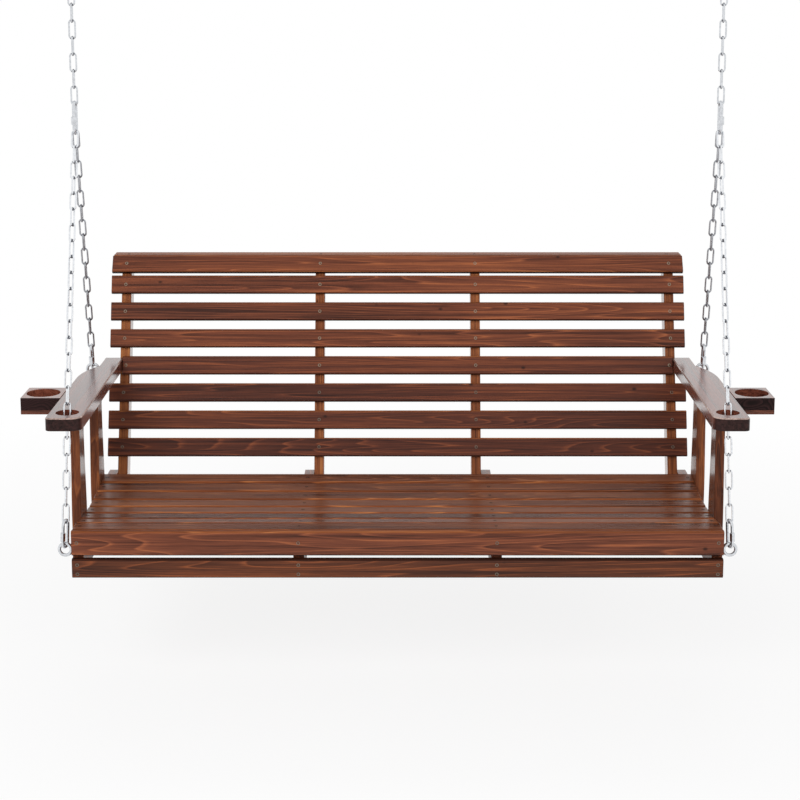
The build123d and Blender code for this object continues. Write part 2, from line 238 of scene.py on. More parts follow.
def along_grain(axis, along, across):
    """A scale for each axis from one along the grain and one across it."""
    return tuple(along if i == axis else across for i in range(3))


def figure(tree, where, axis, kind):
    """A noise stretched along the grain."""
    along, across, detail, roughness = kind
    return noise(tree, where, along_grain(axis, along, across), detail, roughness)


def ring_turns(tree, growth, count):
    """A rise from 0 to 1 in each growth ring."""
    return math_node(tree, "FRACT", math_node(tree, "MULTIPLY", growth, count))


def knot_share(tree, where, axis):
    """How far a place belongs to a knot."""
    knots = add(tree, "TexVoronoi", Scale=1.0, Randomness=1.0)
    link(tree, stretched(tree, where, along_grain(axis, *KNOT_CELLS)), knots.inputs["Vector"])
    return ramp(tree, knots.outputs["Distance"], KNOT_SHARE)


def board_place(tree, lean=0.0):
    """Object coordinates turned upright from a lean and shifted by board, and the board's share."""
    board = add(tree, "ObjectInfo").outputs["Random"]
    upright = add(tree, "VectorRotate", rotation_type="X_AXIS", Angle=math.radians(lean))
    link(tree, add(tree, "TexCoord").outputs["Object"], upright.inputs["Vector"])
    shift = add(tree, "VectorMath", operation="SCALE")
    shift.inputs[0].default_value = BOARD_SHIFT
    link(tree, board, shift.inputs["Scale"])
    moved = add(tree, "VectorMath", operation="ADD")
    link(tree, upright.outputs[0], moved.inputs[0])
    link(tree, shift.outputs[0], moved.inputs[1])
    return moved.outputs[0], board


def end_share(tree, axis):
    """How far a surface cuts across the grain: 0 on faces and eased top edges, most on sawn ends."""
    normal = add(tree, "SeparateXYZ")
    link(tree, add(tree, "TexCoord").outputs["Normal"], normal.inputs[0])
    across = math_node(tree, "ABSOLUTE", normal.outputs[axis])
    upward = math_node(tree, "MAXIMUM", normal.outputs[Z], 0.0)
    turn = math_node(tree, "SUBTRACT", across, math_node(tree, "MULTIPLY", upward, UPWARD_SHARE))
    return remap(tree, turn, END_TURN, END_SHARE)


def stained_wood(name, axis, colours, rough, specular, coat=None, lean=0.0, ends=False, bare=None,
                 relief=WOOD_RELIEF, growth=STRAIGHT):
    """Varnished softwood with growth rings, streaks, fibre and knots; the grain runs along the axis.

    The coat has one weight seen head-on and one seen edge-on, ends darkens what cuts the grain, and
    bare is a span along the grain over which the coat sets in. Relief is the strength of the bump,
    and growth is the figure that the rings follow.
    """
    material, tree, shader = new_material(name)
    where, board = board_place(tree, lean)
    rings = ramp(tree, ring_turns(tree, figure(tree, where, axis, growth), RINGS), RING_LIGHT)
    streaks = figure(tree, where, axis, STREAKS)
    fibre = figure(tree, where, axis, FIBRE)
    patches = figure(tree, where, axis, PATCHES)
    tone = weigh(tree, [(rings, 0.6), (streaks, 1.2), (patches, 0.62), (fibre, 0.6), (board, 0.14)])
    paint = ramp(tree, tone, stops(TONE_PLACES, colours))
    paint = mix(tree, knot_share(tree, where, axis), paint, scaled(KNOT_DARK, colour(colours[0])))
    if coat:
        gloss = remap(tree, add(tree, "LayerWeight").outputs["Facing"], COAT_TURN, coat)
        if ends:
            sawn = end_share(tree, axis)
            paint = mix(tree, sawn, paint, ramp(tree, tone, stops(END_PLACES, END_GRAIN)))
            gloss = math_node(tree, "MULTIPLY", gloss, remap(tree, sawn, (0.0, 1.0), (1.0, END_GLOSS)))
        if bare:
            place = add(tree, "SeparateXYZ")
            link(tree, add(tree, "TexCoord").outputs["Object"], place.inputs[0])
            varnished = remap(tree, place.outputs[axis], bare, (0.0, 1.0))
            gloss = math_node(tree, "MULTIPLY", gloss, varnished)
        link(tree, gloss, shader.inputs["Coat Weight"])
    link(tree, paint, shader.inputs["Base Color"])
    finish = moved_to(tree, weigh(tree, [(streaks, 0.2), (patches, 0.2)]), rough)
    link(tree, finish, shader.inputs["Roughness"])
    add_bump(tree, shader, weigh(tree, [(rings, 0.4), (fibre, 0.8)]), relief, WOOD_DEPTH)
    shader.inputs["Specular IOR Level"].default_value = specular
    shader.inputs["Coat Roughness"].default_value = COAT_ROUGHNESS
    shader.inputs["Coat IOR"].default_value = COAT_IOR
    return material


def sawn_end(name, axis):
    """End grain, which drinks the stain: near black with faint growth arcs."""
    material, tree, shader = new_material(name)
    where, board = board_place(tree)
    turns = ring_turns(tree, figure(tree, where, axis, END_GROWTH), END_RINGS)
    pores = figure(tree, where, axis, PORES)
    tone = weigh(tree, [(turns, 0.6), (pores, 0.8), (board, 0.2)])
    link(tree, ramp(tree, tone, stops(END_PLACES, END_GRAIN)), shader.inputs["Base Color"])
    finish = moved_to(tree, weigh(tree, [(pores, 0.3)]), END_ROUGHNESS)
    link(tree, finish, shader.inputs["Roughness"])
    add_bump(tree, shader, tone, WOOD_RELIEF, WOOD_DEPTH)
    shader.inputs["Specular IOR Level"].default_value = END_SPECULAR
    return material


# Dark, middle and light colour of each wood, and the two of end grain
BOARD = ("#36190f", "#6c3a27", "#995836")
# Board wood darkened for the lowest back slats: painted shade from the arms
PAINTED_SHADE_BOARD = ("#2a140f", "#562d20", "#84492e")
LOWER_FRONT = ("#2c150c", "#5a2f1b", "#8c4c2a")
SEAT = ("#361b12", "#6f412d", "#a06544")
# Lighter, more orange wood on the narrow edges of seat slats: painted light where the edges catch the light
SEAT_PAINTED_LIGHT_TRIM = ("#40200f", "#7a4022", "#b06c3c")
POST = ("#34180e", "#653620", "#8d522e")
BACK_POST = ("#482413", "#864c2d", "#b37444")
# Lighter, more orange wood on the narrow edges of slats and boards, and on the back cap: painted light
PAINTED_LIGHT_TRIM = ("#4a2515", "#7c4324", "#a1643b")
ARM = ("#3f2019", "#6f3c2e", "#8a513e")
# Painted highlight: pale wood for the eased upper edges of arms and cup holders
ARM_PAINTED_HIGHLIGHT = ("#7d645b", "#a98f85", "#c8b3aa")
CUP_BASE = ("#402218", "#66392a", "#7e4c36")
# Painted shade: near-black wood for edges that look down and for the edges of the lower front board
PAINTED_SHADE_TRIM = ("#1c0d09", "#34190f", "#50281a")
END_GRAIN = ("#140c0b", "#362222")

# Weights of the varnish seen head-on and edge-on
POST_COAT = (0.0, 0.9)
FULL_COAT = (0.0, 1.0)
ARM_COAT = (0.15, 1.0)
HIGHLIGHT_COAT = (0.4, 1.0)

BACK_LEAN = 18.0
TAIL_FADE = 40 * MM
seat_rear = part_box("seat_slat_8")[1].y
tail = (seat_rear - TAIL_FADE, seat_rear)

# The two numbers after the colours are roughness and specular level
board_wood = stained_wood("stained_board", X, BOARD, 0.40, 0.22)
# A darker copy of the board wood: painted shade on the lowest back slats
painted_shade_board_wood = stained_wood("stained_board_painted_shade", X, PAINTED_SHADE_BOARD, 0.40, 0.22)
front_wood = stained_wood("stained_front", X, BOARD, 0.40, 0.22, growth=ARCHED)
lower_front_wood = stained_wood("stained_front_lower", X, LOWER_FRONT, 0.40, 0.22, growth=ARCHED)
seat_wood = stained_wood("stained_seat", X, SEAT, 0.29, 0.42, relief=0.08)
support_wood = stained_wood("stained_support", Y, BOARD, 0.42, 0.22, FULL_COAT, bare=tail)
post_wood = stained_wood("stained_arm_post", Z, POST, 0.44, 0.18, POST_COAT)
leaning_wood = stained_wood("stained_back_post", Z, BACK_POST, 0.44, 0.18, FULL_COAT, BACK_LEAN)
painted_light_trim_wood = stained_wood("stained_trim_painted_light", X, PAINTED_LIGHT_TRIM, 0.46, 0.20)
seat_painted_light_trim_wood = stained_wood("stained_seat_trim_painted_light", X, SEAT_PAINTED_LIGHT_TRIM, 0.46, 0.20)
painted_shade_trim_wood = stained_wood("stained_trim_painted_shade", X, PAINTED_SHADE_TRIM, 0.50, 0.12)
arm_wood = stained_wood("stained_arm", Y, ARM, 0.30, 0.12, ARM_COAT, ends=True)
cup_wood = stained_wood("stained_cup_holder", Y, ARM, 0.30, 0.12, ARM_COAT)
painted_highlight_wood = stained_wood("stained_arm_painted_highlight", Y, ARM_PAINTED_HIGHLIGHT, 0.30, 0.20, HIGHLIGHT_COAT)
base_wood = stained_wood("stained_cup_base", X, CUP_BASE, 0.42, 0.25)
end_wood = [sawn_end(f"end_grain_{letter}", axis) for axis, letter in enumerate("xyz")]


# Metal

# Cells per metre, detail and roughness of the noise
MOTTLE = (170.0, 3.0, 0.6)
SCUFFS = (900.0, 2.0, 0.6)

SPOT_PLACE, BASE_PLACE = 0.3, 0.7
SCUFF_SHARE = 0.14
PLATING_RELIEF = 0.12
PLATING_DEPTH = 0.2 * MM


def specks(tree, place, kind):
    """A noise with the same scale along all axes."""
    cells, detail, roughness = kind
    return noise(tree, place, (cells,) * 3, detail, roughness)


def plated(name, base, rough, spots):
    """Zinc or brass plating with fine scuffs and a mottle of spots that have a share of the base."""
    material, tree, shader = new_material(name)
    place = add(tree, "TexCoord").outputs["Object"]
    mottle = specks(tree, place, MOTTLE)
    plate = ramp(tree, mottle, [(SPOT_PLACE, scaled(spots, base)), (BASE_PLACE, base)])
    link(tree, plate, shader.inputs["Base Color"])
    scuffs = specks(tree, place, SCUFFS)
    finish = math_node(tree, "MULTIPLY_ADD", scuffs, SCUFF_SHARE, rough)
    link(tree, finish, shader.inputs["Roughness"])
    add_bump(tree, shader, mottle, PLATING_RELIEF, PLATING_DEPTH)
    shader.inputs["Metallic"].default_value = 1.0
    return material


# The two numbers after the colour are roughness and the spots' share of that colour
zinc = plated("zinc_plating", (0.78, 0.80, 0.83), 0.16, 0.72)
# Lighter and darker copies of the same zinc: painted highlight and painted shade for the chains
zinc_painted_highlight = plated("zinc_painted_highlight", (0.89, 0.91, 0.94), 0.16, 0.8)
zinc_painted_shade = plated("zinc_painted_shade", (0.54, 0.55, 0.58), 0.20, 0.62)
# Darker zinc at the bends where links touch: wear and painted shade of the contact
zinc_wear_and_painted_shade = plated("zinc_wear_and_painted_shade", (0.26, 0.27, 0.30), 0.28, 0.7)
screw_brass = plated("screw_plating", (0.38, 0.32, 0.24), 0.30, 0.6)
# Duller plating: painted shade on the screws of the lowest back slats, and the front boards' duller screws
screw_dull_and_shaded = plated("screw_plating_dull_and_painted_shade", (0.23, 0.20, 0.16), 0.36, 0.6)
# Near-black plating: painted shade in the screw recesses, and the dark heads of the seat, cap and post screws
screw_dark_and_recess_shade = plated("screw_plating_dark_and_painted_recess_shade", (0.05, 0.04, 0.035), 0.45, 0.6)


# Mesh helpers

SHARP_ANGLE = math.radians(35)
ON_AXIS = 1e-7
ROD_SIDES = 14


def steel_piece(name, work, materials, node, stands_for_node=True):
    """A shown piece that rides with a CAD node's body and may stand for that node."""
    mesh = bpy.data.meshes.new(name)
    work.to_mesh(mesh)
    work.free()
    for material in materials:
        mesh.materials.append(material)
    for polygon in mesh.polygons:
        polygon.use_smooth = True
    mesh.set_sharp_from_angle(angle=SHARP_ANGLE)
    piece = bpy.data.objects.new(name, mesh)
    scene.collection.objects.link(piece)
    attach(piece, body_of[node])
    if stands_for_node:
        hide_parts(node)


def tube(work, path, radius, sides, place, closed=False, wear_and_shade=()):
    """A round rod along a path in the local X Y plane; the listed steps take the second material."""
    count = len(path)
    rows = []
    for i, point in enumerate(path):
        before = path[i - 1] if closed or i else point
        after = path[(i + 1) % count] if closed or i < count - 1 else point
        aside = UP.cross((after - before).normalized())
        row = []
        for k in range(sides):
            turn = 2 * math.pi * k / sides
            corner = point + aside * (radius * math.cos(turn)) + UP * (radius * math.sin(turn))
            row.append(work.verts.new(place @ corner))
        rows.append(row)
    for i in range(count if closed else count - 1):
        low, high = rows[i], rows[(i + 1) % count]
        for k in range(sides):
            n = (k + 1) % sides
            face = work.faces.new((low[k], low[n], high[n], high[k]))
            face.material_index = 1 if i in wear_and_shade else 0
    if not closed:
        work.faces.new(rows[0][::-1])
        work.faces.new(rows[-1])


def arc(radius, middle, start, size, steps):
    """Points of an arc in the X Y plane about (0, middle)."""
    turns = [math.radians(start + size * k / steps) for k in range(steps + 1)]
    return [Vector((radius * math.cos(t), middle + radius * math.sin(t), 0)) for t in turns]


def circle(radius, steps):
    """Points of a whole circle in the X Y plane."""
    return arc(radius, 0, 0, 360, steps)[:-1]


def turned(work, profile, sides, place, material=0):
    """A solid of revolution about local Z from (radius, height) pairs."""
    rows = []
    for radius, height in profile:
        spots = [Vector()] if radius < ON_AXIS else circle(radius, sides)
        rows.append([work.verts.new(place @ (spot + UP * height)) for spot in spots])
    for low, high in zip(rows, rows[1:]):
        for k in range(sides):
            n = (k + 1) % sides
            ring = [low[k % len(low)], low[n % len(low)], high[n % len(high)], high[k % len(high)]]
            face = work.faces.new(list(dict.fromkeys(ring)))
            face.material_index = material


def solids_of(node):
    """The corners of each separate solid in a CAD node."""
    work = bmesh.new()
    work.from_mesh(nodes[node].data)
    bmesh.ops.remove_doubles(work, verts=work.verts, dist=WELD_GAP)
    work.verts.ensure_lookup_table()
    seen = set()
    groups = []
    for seed in work.verts:
        if seed.index in seen:
            continue
        seen.add(seed.index)
        queue = [seed]
        for vert in queue:
            for edge in vert.link_edges:
                other = edge.other_vert(vert)
                if other.index not in seen:
                    seen.add(other.index)
                    queue.append(other)
        groups.append(np.array([vert.co for vert in queue]))
    work.free()
    return groups


def frame_matrix(centre, x_axis, y_axis):
    """A matrix from an origin and two axes at right angles."""
    x_axis = Vector(x_axis).normalized()
    y_axis = Vector(y_axis).normalized()
    turn = Matrix((x_axis, y_axis, x_axis.cross(y_axis))).transposed().to_4x4()
    return Matrix.Translation(Vector(centre)) @ turn


# Chains: a round wire link where each CAD link lies

LINK_WIRE = 2.2 * MM
LINK_HALF_WIDE = 7.2 * MM
LINK_HALF_LONG = 22.05 * MM
LINK_SIDES = 9
BEND_STEPS = 10
# Steps at both bends of a link, where it touches the next, take the darker zinc: wear and painted shade
CONTACT_STEPS = range(3, 7)
# The front chain takes the lighter zinc and the rear chain the darker: painted highlight and painted shade
CHAINS = (("upper_chain", zinc), ("front_chain", zinc_painted_highlight), ("rear_chain", zinc_painted_shade))
bend_middle = LINK_HALF_LONG - LINK_HALF_WIDE
link_path = arc(LINK_HALF_WIDE, bend_middle, 0, 180, BEND_STEPS)
link_path += arc(LINK_HALF_WIDE, -bend_middle, 180, 180, BEND_STEPS)
wear_and_shade_steps = [first + step for first in (0, BEND_STEPS + 1) for step in CONTACT_STEPS]


def chain_wire(node, plating):
    """The round links of one chain."""
    work = bmesh.new()
    for corners in solids_of(node):
        centre = corners.mean(0)
        axes = np.linalg.svd(corners - centre, full_matrices=False)[2]
        place = frame_matrix(centre, axes[1], axes[0])
        tube(work, link_path, LINK_WIRE, LINK_SIDES, place, True, wear_and_shade_steps)
    steel_piece(f"{node}_wire", work, (plating, zinc_wear_and_painted_shade), node)


for chain, plating in CHAINS:
    for hand in HANDS:
        chain_wire(f"{chain}_{hand}", plating)


# Quick links: the rod is round, and its gap lies where the sleeve is closed

# Places along the sleeve's travel from the middle of the link, and how far below it the sleeve rests
GAP_HIGH = -1 * MM
GAP_LOW = -11 * MM
SLEEVE_BELOW = 6 * MM
HALF_TURN_STEPS = 14

# Width of the rod, radius of its bends and half the length of its straight part
JUNCTION_SIZE = (8 * MM, 15 * MM, 23 * MM)
LOWER_SIZE = (7 * MM, 11.5 * MM, 20 * MM)


def quick_link(node, sleeve, wire, mid, straight):
    """The open round rod of a quick link, set by its sleeve and that sleeve's travel."""
    pull = Vector(joints[sleeve]["axis"]).normalized()
    low, high = (Vector(corner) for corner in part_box(sleeve))
    sleeve_middle = (low + high) / 2
    middle = Vector(np.mean([vert.co for vert in nodes[node].data.vertices], axis=0))
    inward = middle - sleeve_middle
    inward = (inward - pull * inward.dot(pull)).normalized()
    centre = sleeve_middle + inward * mid + pull * SLEEVE_BELOW
    path = [Vector((mid, GAP_HIGH, 0))]
    path += arc(mid, straight, 0, 180, HALF_TURN_STEPS)
    path += arc(mid, -straight, 180, 180, HALF_TURN_STEPS)
    path += [Vector((mid, GAP_LOW, 0))]
    work = bmesh.new()
    tube(work, path, wire / 2, ROD_SIDES, frame_matrix(centre, -inward, pull))
    steel_piece(f"{node}_rod", work, (zinc,), node)


for hand in HANDS:
    quick_link(f"junction_link_{hand}", f"junction_sleeve_{hand}", *JUNCTION_SIZE)
    for place in ("front", "rear"):
        quick_link(f"{place}_link_{hand}", f"{place}_sleeve_{hand}", *LOWER_SIZE)


# Eye bolts

EYE_WIRE = 4 * MM
EYE_MID = 14 * MM
EYE_STEPS = 32
COLLAR = 8 * MM
COLLAR_TOP = 6.8 * MM
COLLAR_THICK = 3 * MM
COLLAR_SHOULDER = 2.1 * MM
COLLAR_SIDES = 20


def eye_bolts(node):
    """Round eyes with a collar and shank at both ends of the bench."""
    low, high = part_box(node)
    middle_y = (low.y + high.y) / 2
    middle_z = (low.z + high.z) / 2
    eye_size = 2 * (EYE_MID + EYE_WIRE)
    reach = max(abs(corners[:, X]).max() - abs(corners[:, X]).min() for corners in solids_of(node))
    shank = reach - eye_size - COLLAR_THICK
    profile = [(0, -shank), (EYE_WIRE, -shank), (EYE_WIRE, 0)]
    profile += [(COLLAR, 0), (COLLAR, COLLAR_SHOULDER), (COLLAR_TOP, COLLAR_THICK)]
    profile += [(EYE_WIRE, COLLAR_THICK + EYE_WIRE), (0, COLLAR_THICK + EYE_WIRE)]
    work = bmesh.new()
    for side in (-1, 1):
        centre = Vector((side * (high.x - eye_size / 2), middle_y, middle_z))
        ring = circle(EYE_MID, EYE_STEPS)
        tube(work, ring, EYE_WIRE, ROD_SIDES, frame_matrix(centre, (1, 0, 0), (0, 0, 1)), True)
        face = Vector((side * (high.x - eye_size - COLLAR_THICK), middle_y, middle_z))
        turned(work, profile, COLLAR_SIDES, frame_matrix(face, (0, side, 0), (0, 0, 1)))
    steel_piece(f"{node}_round", work, (zinc,), node)


eye_bolts("front_eye_bolts")
eye_bolts("rear_eye_bolts")


# Ceiling hangers: plate, bow and lag screws

PLATE_THICK = 5 * MM
PLATE_CORNER = 6 * MM
CORNER_STEPS = 5
BOW_MID = 15 * MM
BOW_WIRE = 4 * MM
BOW_STEPS = 18
SCREW_APART = 60 * MM
HOLE = 3.5 * MM
HOLE_STEPS = 20
LAG_SHANK = 0.85 * HOLE
WASHER = 7 * MM
WASHER_THICK = 1 * MM
WASHER_SIDES = 24
LAG_HEAD = 5.8 * MM
LAG_HEAD_TOP = 5.2 * MM
LAG_SHOULDER = 4.4 * MM
LAG_HIGH = 5 * MM
LAG_HEAD_SIDES = 6
lag_rests = [Vector((0, sign * SCREW_APART / 2, 0)) for sign in (-1, 1)]


def hanger_plate(work, middle, half_x, half_y):
    """A plate with rounded corners and two screw holes; middle is that of its lower face."""
    outline = []
    for sign_x, sign_y, start in ((1, 1, 0), (-1, 1, 90), (-1, -1, 180), (1, -1, 270)):
        corner = Vector((sign_x * (half_x - PLATE_CORNER), sign_y * (half_y - PLATE_CORNER), 0))
        outline += [corner + point for point in arc(PLATE_CORNER, 0, start, 90, CORNER_STEPS)]
    rims = [outline]
    rims += [[rest + point for point in circle(HOLE, HOLE_STEPS)] for rest in lag_rests]
    edges = []
    for rim in rims:
        verts = [work.verts.new(middle + point) for point in rim]
        edges += [work.edges.new((verts[i - 1], verts[i])) for i in range(len(verts))]
    bmesh.ops.triangle_fill(work, edges=edges, use_beauty=True)
    extruded = bmesh.ops.extrude_face_region(work, geom=list(work.faces))
    raised = [item for item in extruded["geom"] if isinstance(item, bmesh.types.BMVert)]
    bmesh.ops.translate(work, verts=raised, vec=(0, 0, PLATE_THICK))
    bmesh.ops.recalc_face_normals(work, faces=work.faces)


def hanger_bow(work, middle, lowest):
    """The bow under a plate, with both legs ending inside the plate."""
    centre = Vector((middle.x, middle.y, lowest + BOW_MID + BOW_WIRE))
    leg = middle.z - centre.z + PLATE_THICK / 2
    path = [Vector((-BOW_MID, leg, 0))]
    path += arc(BOW_MID, 0, 180, 180, BOW_STEPS)
    path += [Vector((BOW_MID, leg, 0))]
    tube(work, path, BOW_WIRE, ROD_SIDES, frame_matrix(centre, (0, 1, 0), (0, 0, 1)))


def lag_screw(work, spot):
    """A shank in the plate's hole, a washer and a six-sided head that look down."""
    place = frame_matrix(spot, (1, 0, 0), (0, -1, 0))
    washer = [(LAG_SHANK, -PLATE_THICK), (LAG_SHANK, 0), (WASHER, 0), (WASHER, WASHER_THICK)]
    turned(work, washer, WASHER_SIDES, place)
    head = [(LAG_HEAD, WASHER_THICK), (LAG_HEAD, LAG_SHOULDER), (LAG_HEAD_TOP, LAG_HIGH), (0, LAG_HIGH)]
    turned(work, head, LAG_HEAD_SIDES, place)


def hanger(node):
    """A pressed plate, its bow and two lag screws."""
    low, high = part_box(node)
    middle = Vector(((low.x + high.x) / 2, (low.y + high.y) / 2, high.z - PLATE_THICK))
    work = bmesh.new()
    hanger_plate(work, middle, (high.x - low.x) / 2, (high.y - low.y) / 2)
    hanger_bow(work, middle, low.z)
    for rest in lag_rests:
        lag_screw(work, middle + rest)
    steel_piece(f"{node}_formed", work, (zinc,), node)


for hand in HANDS:
    hanger(f"ceiling_hanger_{hand}")


# Finish of the CAD nodes that stay

ARMS = ("arm_left", "arm_right")
STEEL = ("sleeve", "frame_bolts", "eye_bolt_nuts")
# Back slats that take the darker wood, which paints the shade of the arms on them
PAINTED_SHADE_SLATS = ("back_slat_1", "back_slat_2", "back_slat_3", "back_slat_4")

# Start of the name, axis of the grain and wood; the first that fits holds
WOODS = [
    ("arm_post", Z, post_wood),
    ("back_post", Z, leaning_wood),
    ("cup_holder", Y, cup_wood),
    ("seat_support", Y, support_wood),
    ("seat_slat", X, seat_wood),
    ("cup_bases", X, base_wood),
    # The back cap takes the lighter edge wood, which paints light on it
    ("back_cap", X, painted_light_trim_wood),
    (PAINTED_SHADE_SLATS, X, painted_shade_board_wood),
    ("back_", X, board_wood),
    ("front_board_upper", X, front_wood),
    ("front_board_lower", X, lower_front_wood),
]

END_SLOT, PAINTED_LIGHT_SLOT, PAINTED_SHADE_SLOT, HIGHLIGHT_SLOT = range(1, 5)
ARM_BORE_SLOT, ARM_HIGHLIGHT_SLOT = range(1, 3)

# Parts of a face's normal that tell what kind of face it is
EASING = (0.3, 0.95)
TOP_EASING = 0.5
TOWARDS_END = 0.35
DOWNWARD = -0.3
UPRIGHT = 0.3

END_DEPTH = 20 * MM
CUP_END_DEPTH = 11 * MM
NARROW_SHARE = 0.4
BORE_INSET = 10 * MM
BORE_REACH = 120 * MM

STEEL_EASE = 0.5 * MM
ARM_EASE = 1.8 * MM
BOARD_EASE = 1.2 * MM
EASE_STEPS = 3
EASE_ANGLE = math.radians(32)
SHADING_WEIGHT = 90


def takes_painted_highlight(polygon):
    """Whether a face is the easing of an upper edge, which takes a pale painted highlight."""
    return EASING[0] < polygon.normal.z < EASING[1]


def dress_wood(name, node):
    """Face wood, end grain at the sawn ends, and painted light on the narrow edges of slats.

    Edges that look down, and all those of the lower front board, are dark with painted shade. Seat
    supports keep the face wood all over, and cup holders get a pale painted highlight along the upper
    edges.
    """
    axis, face = next((axis, wood) for start, axis, wood in WOODS if name.startswith(start))
    node.data.materials.append(face)
    if face is support_wood:
        return
    gap_edge = name.startswith("seat_slat") and name != "seat_slat_1"
    for material in (end_wood[axis], seat_painted_light_trim_wood if gap_edge else painted_light_trim_wood, painted_shade_trim_wood):
        node.data.materials.append(material)
    if face is cup_wood:
        node.data.materials.append(painted_highlight_wood)
    low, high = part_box(name)
    largest = max(polygon.area for polygon in node.data.polygons)
    slatted = axis == X and face is not base_wood
    depth = CUP_END_DEPTH if face is cup_wood else END_DEPTH
    for polygon in node.data.polygons:
        along = polygon.center[axis]
        near_end = min(along - low[axis], high[axis] - along) < depth
        top_easing = axis == Y and polygon.normal.z > TOP_EASING
        # Eased upper edges of cup holders take the pale painted highlight
        if face is cup_wood and takes_painted_highlight(polygon):
            polygon.material_index = HIGHLIGHT_SLOT
        elif near_end and abs(polygon.normal[axis]) > TOWARDS_END and not top_easing:
            polygon.material_index = END_SLOT
        elif slatted and polygon.area < NARROW_SHARE * largest:
            # Edges that look down, and the lower front board's edges by the gap, take painted shade
            shaded = polygon.normal.z < DOWNWARD or name == "front_board_lower"
            # The other narrow edges take the lighter wood with painted light
            polygon.material_index = PAINTED_SHADE_SLOT if shaded and not gap_edge else PAINTED_LIGHT_SLOT


def dress_arm(name, node):
    """Arm wood, plainer in the bore of the chain hole, with a pale painted highlight on the upper edges."""
    for material in (arm_wood, cup_wood, painted_highlight_wood):
        node.data.materials.append(material)
    low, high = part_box(name)
    for polygon in node.data.polygons:
        place = polygon.center
        off_sides = low.x + BORE_INSET < place.x < high.x - BORE_INSET
        near_front = low.y + BORE_INSET < place.y < low.y + BORE_REACH
        # Eased upper edges of the arms take the pale painted highlight
        if takes_painted_highlight(polygon):
            polygon.material_index = ARM_HIGHLIGHT_SLOT
        elif off_sides and near_front and abs(polygon.normal.z) < UPRIGHT:
            polygon.material_index = ARM_BORE_SLOT


def ease_edges(node, width):
    """Rounded edges and even shading, by modifiers on a CAD node."""
    node.modifiers.new("weld", "WELD").merge_threshold = WELD_GAP
    ease = node.modifiers.new("eased_edges", "BEVEL")
    ease.width = width
    ease.segments = EASE_STEPS
    ease.limit_method = "ANGLE"
    ease.angle_limit = EASE_ANGLE
    node.modifiers.new("even_shading", "WEIGHTED_NORMAL").weight = SHADING_WEIGHT
    for polygon in node.data.polygons:
        polygon.use_smooth = True


for name, node in nodes.items():
    if node.hide_render:
        continue
    node.data.materials.clear()
    if any(word in name for word in STEEL):
        node.data.materials.append(zinc)
        ease_edges(node, STEEL_EASE)
    elif name in ARMS:
        dress_arm(name, node)
        ease_edges(node, ARM_EASE)
    else:
        dress_wood(name, node)
        ease_edges(node, BOARD_EASE)


# Wood screws

RIM_SLOT, RECESS_SHADE_SLOT, DULL_AND_SHADE_SLOT = range(3)
SCREW_SIDES = 20
SCREW_RADIUS = 4 * MM
POST_SCREW_RADIUS = 5 * MM
FACING = 0.5
# Screws of the lowest back slats take the duller plating: painted shade
PAINTED_SHADE_SCREWS = ("back_slat_1", "back_slat_2", "back_slat_3")
SIDES = (("left", Vector((-1, 0, 0))), ("right", Vector((1, 0, 0))))

# Heights of a head over the wood, and the shares of its radius that the top and the recess have
HEAD_SUNK = -0.4 * MM
HEAD_SHOULDER = 0.1 * MM
HEAD_PROUD = 0.3 * MM
RECESS_FLOOR = -0.3 * MM
HEAD_TOP, RECESS, RECESS_BOTTOM = 0.9, 0.64, 0.4

# Heights are from the middle of a front board, and from the lower end of an arm post
SCREW_FROM_END = 9 * MM
CAP_SCREW_FORWARD = 6 * MM
FRONT_SCREW_HEIGHTS = (("front_board_upper", (2 * MM,)), ("front_board_lower", (-13 * MM, 9 * MM)))
POST_SCREW_HEIGHTS = (24 * MM, 62 * MM)


def face_of(node, towards):
    """Middle and normal of a board's broad face that looks towards a direction."""
    mesh = nodes[node].data
    looking = [polygon for polygon in mesh.polygons if polygon.normal.dot(towards) > FACING]
    normal = max(looking, key=lambda polygon: polygon.area).normal.copy()
    low, high = (Vector(corner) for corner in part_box(node))
    middle = (low + high) / 2
    reach = max((vert.co - middle).dot(normal) for vert in mesh.vertices)
    return middle + normal * reach, normal


def screw(work, spot, normal, radius, rim_slot=RIM_SLOT):
    """A countersunk head with a dished recess, set just proud of the wood."""
    place = Matrix.Translation(spot) @ normal.to_track_quat("Z", "Y").to_matrix().to_4x4()
    rim = [(radius, HEAD_SUNK), (radius, HEAD_SHOULDER)]
    rim += [(HEAD_TOP * radius, HEAD_PROUD), (RECESS * radius, HEAD_PROUD)]
    turned(work, rim, SCREW_SIDES, place, rim_slot)
    # The recess takes the near-black plating: painted shade in the hollow
    recess = [(RECESS * radius, HEAD_PROUD), (RECESS_BOTTOM * radius, RECESS_FLOOR), (0, RECESS_FLOOR)]
    turned(work, recess, SCREW_SIDES, place, RECESS_SHADE_SLOT)


def screw_row(work, board, towards, carriers, shift=(0, 0, 0), rim_slot=RIM_SLOT):
    """Screws in a board's broad face, one over each carrier but not past the board's ends."""
    spot, normal = face_of(board, towards)
    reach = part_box(board)[1].x - SCREW_FROM_END
    for carrier in carriers:
        low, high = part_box(carrier)
        across = max(-reach, min(reach, (low.x + high.x) / 2))
        screw(work, Vector((across, spot.y, spot.z)) + Vector(shift), normal, SCREW_RADIUS, rim_slot)


def nodes_named(start):
    """Names of the CAD nodes with this start, in order."""
    return sorted(name for name in nodes if name.startswith(start))


back_posts = [f"back_post_{row}_{hand}" for row in ("outer", "inner") for hand in HANDS]
supports = [f"seat_support_{row}_{hand}" for row in ("outer", "inner") for hand in HANDS]

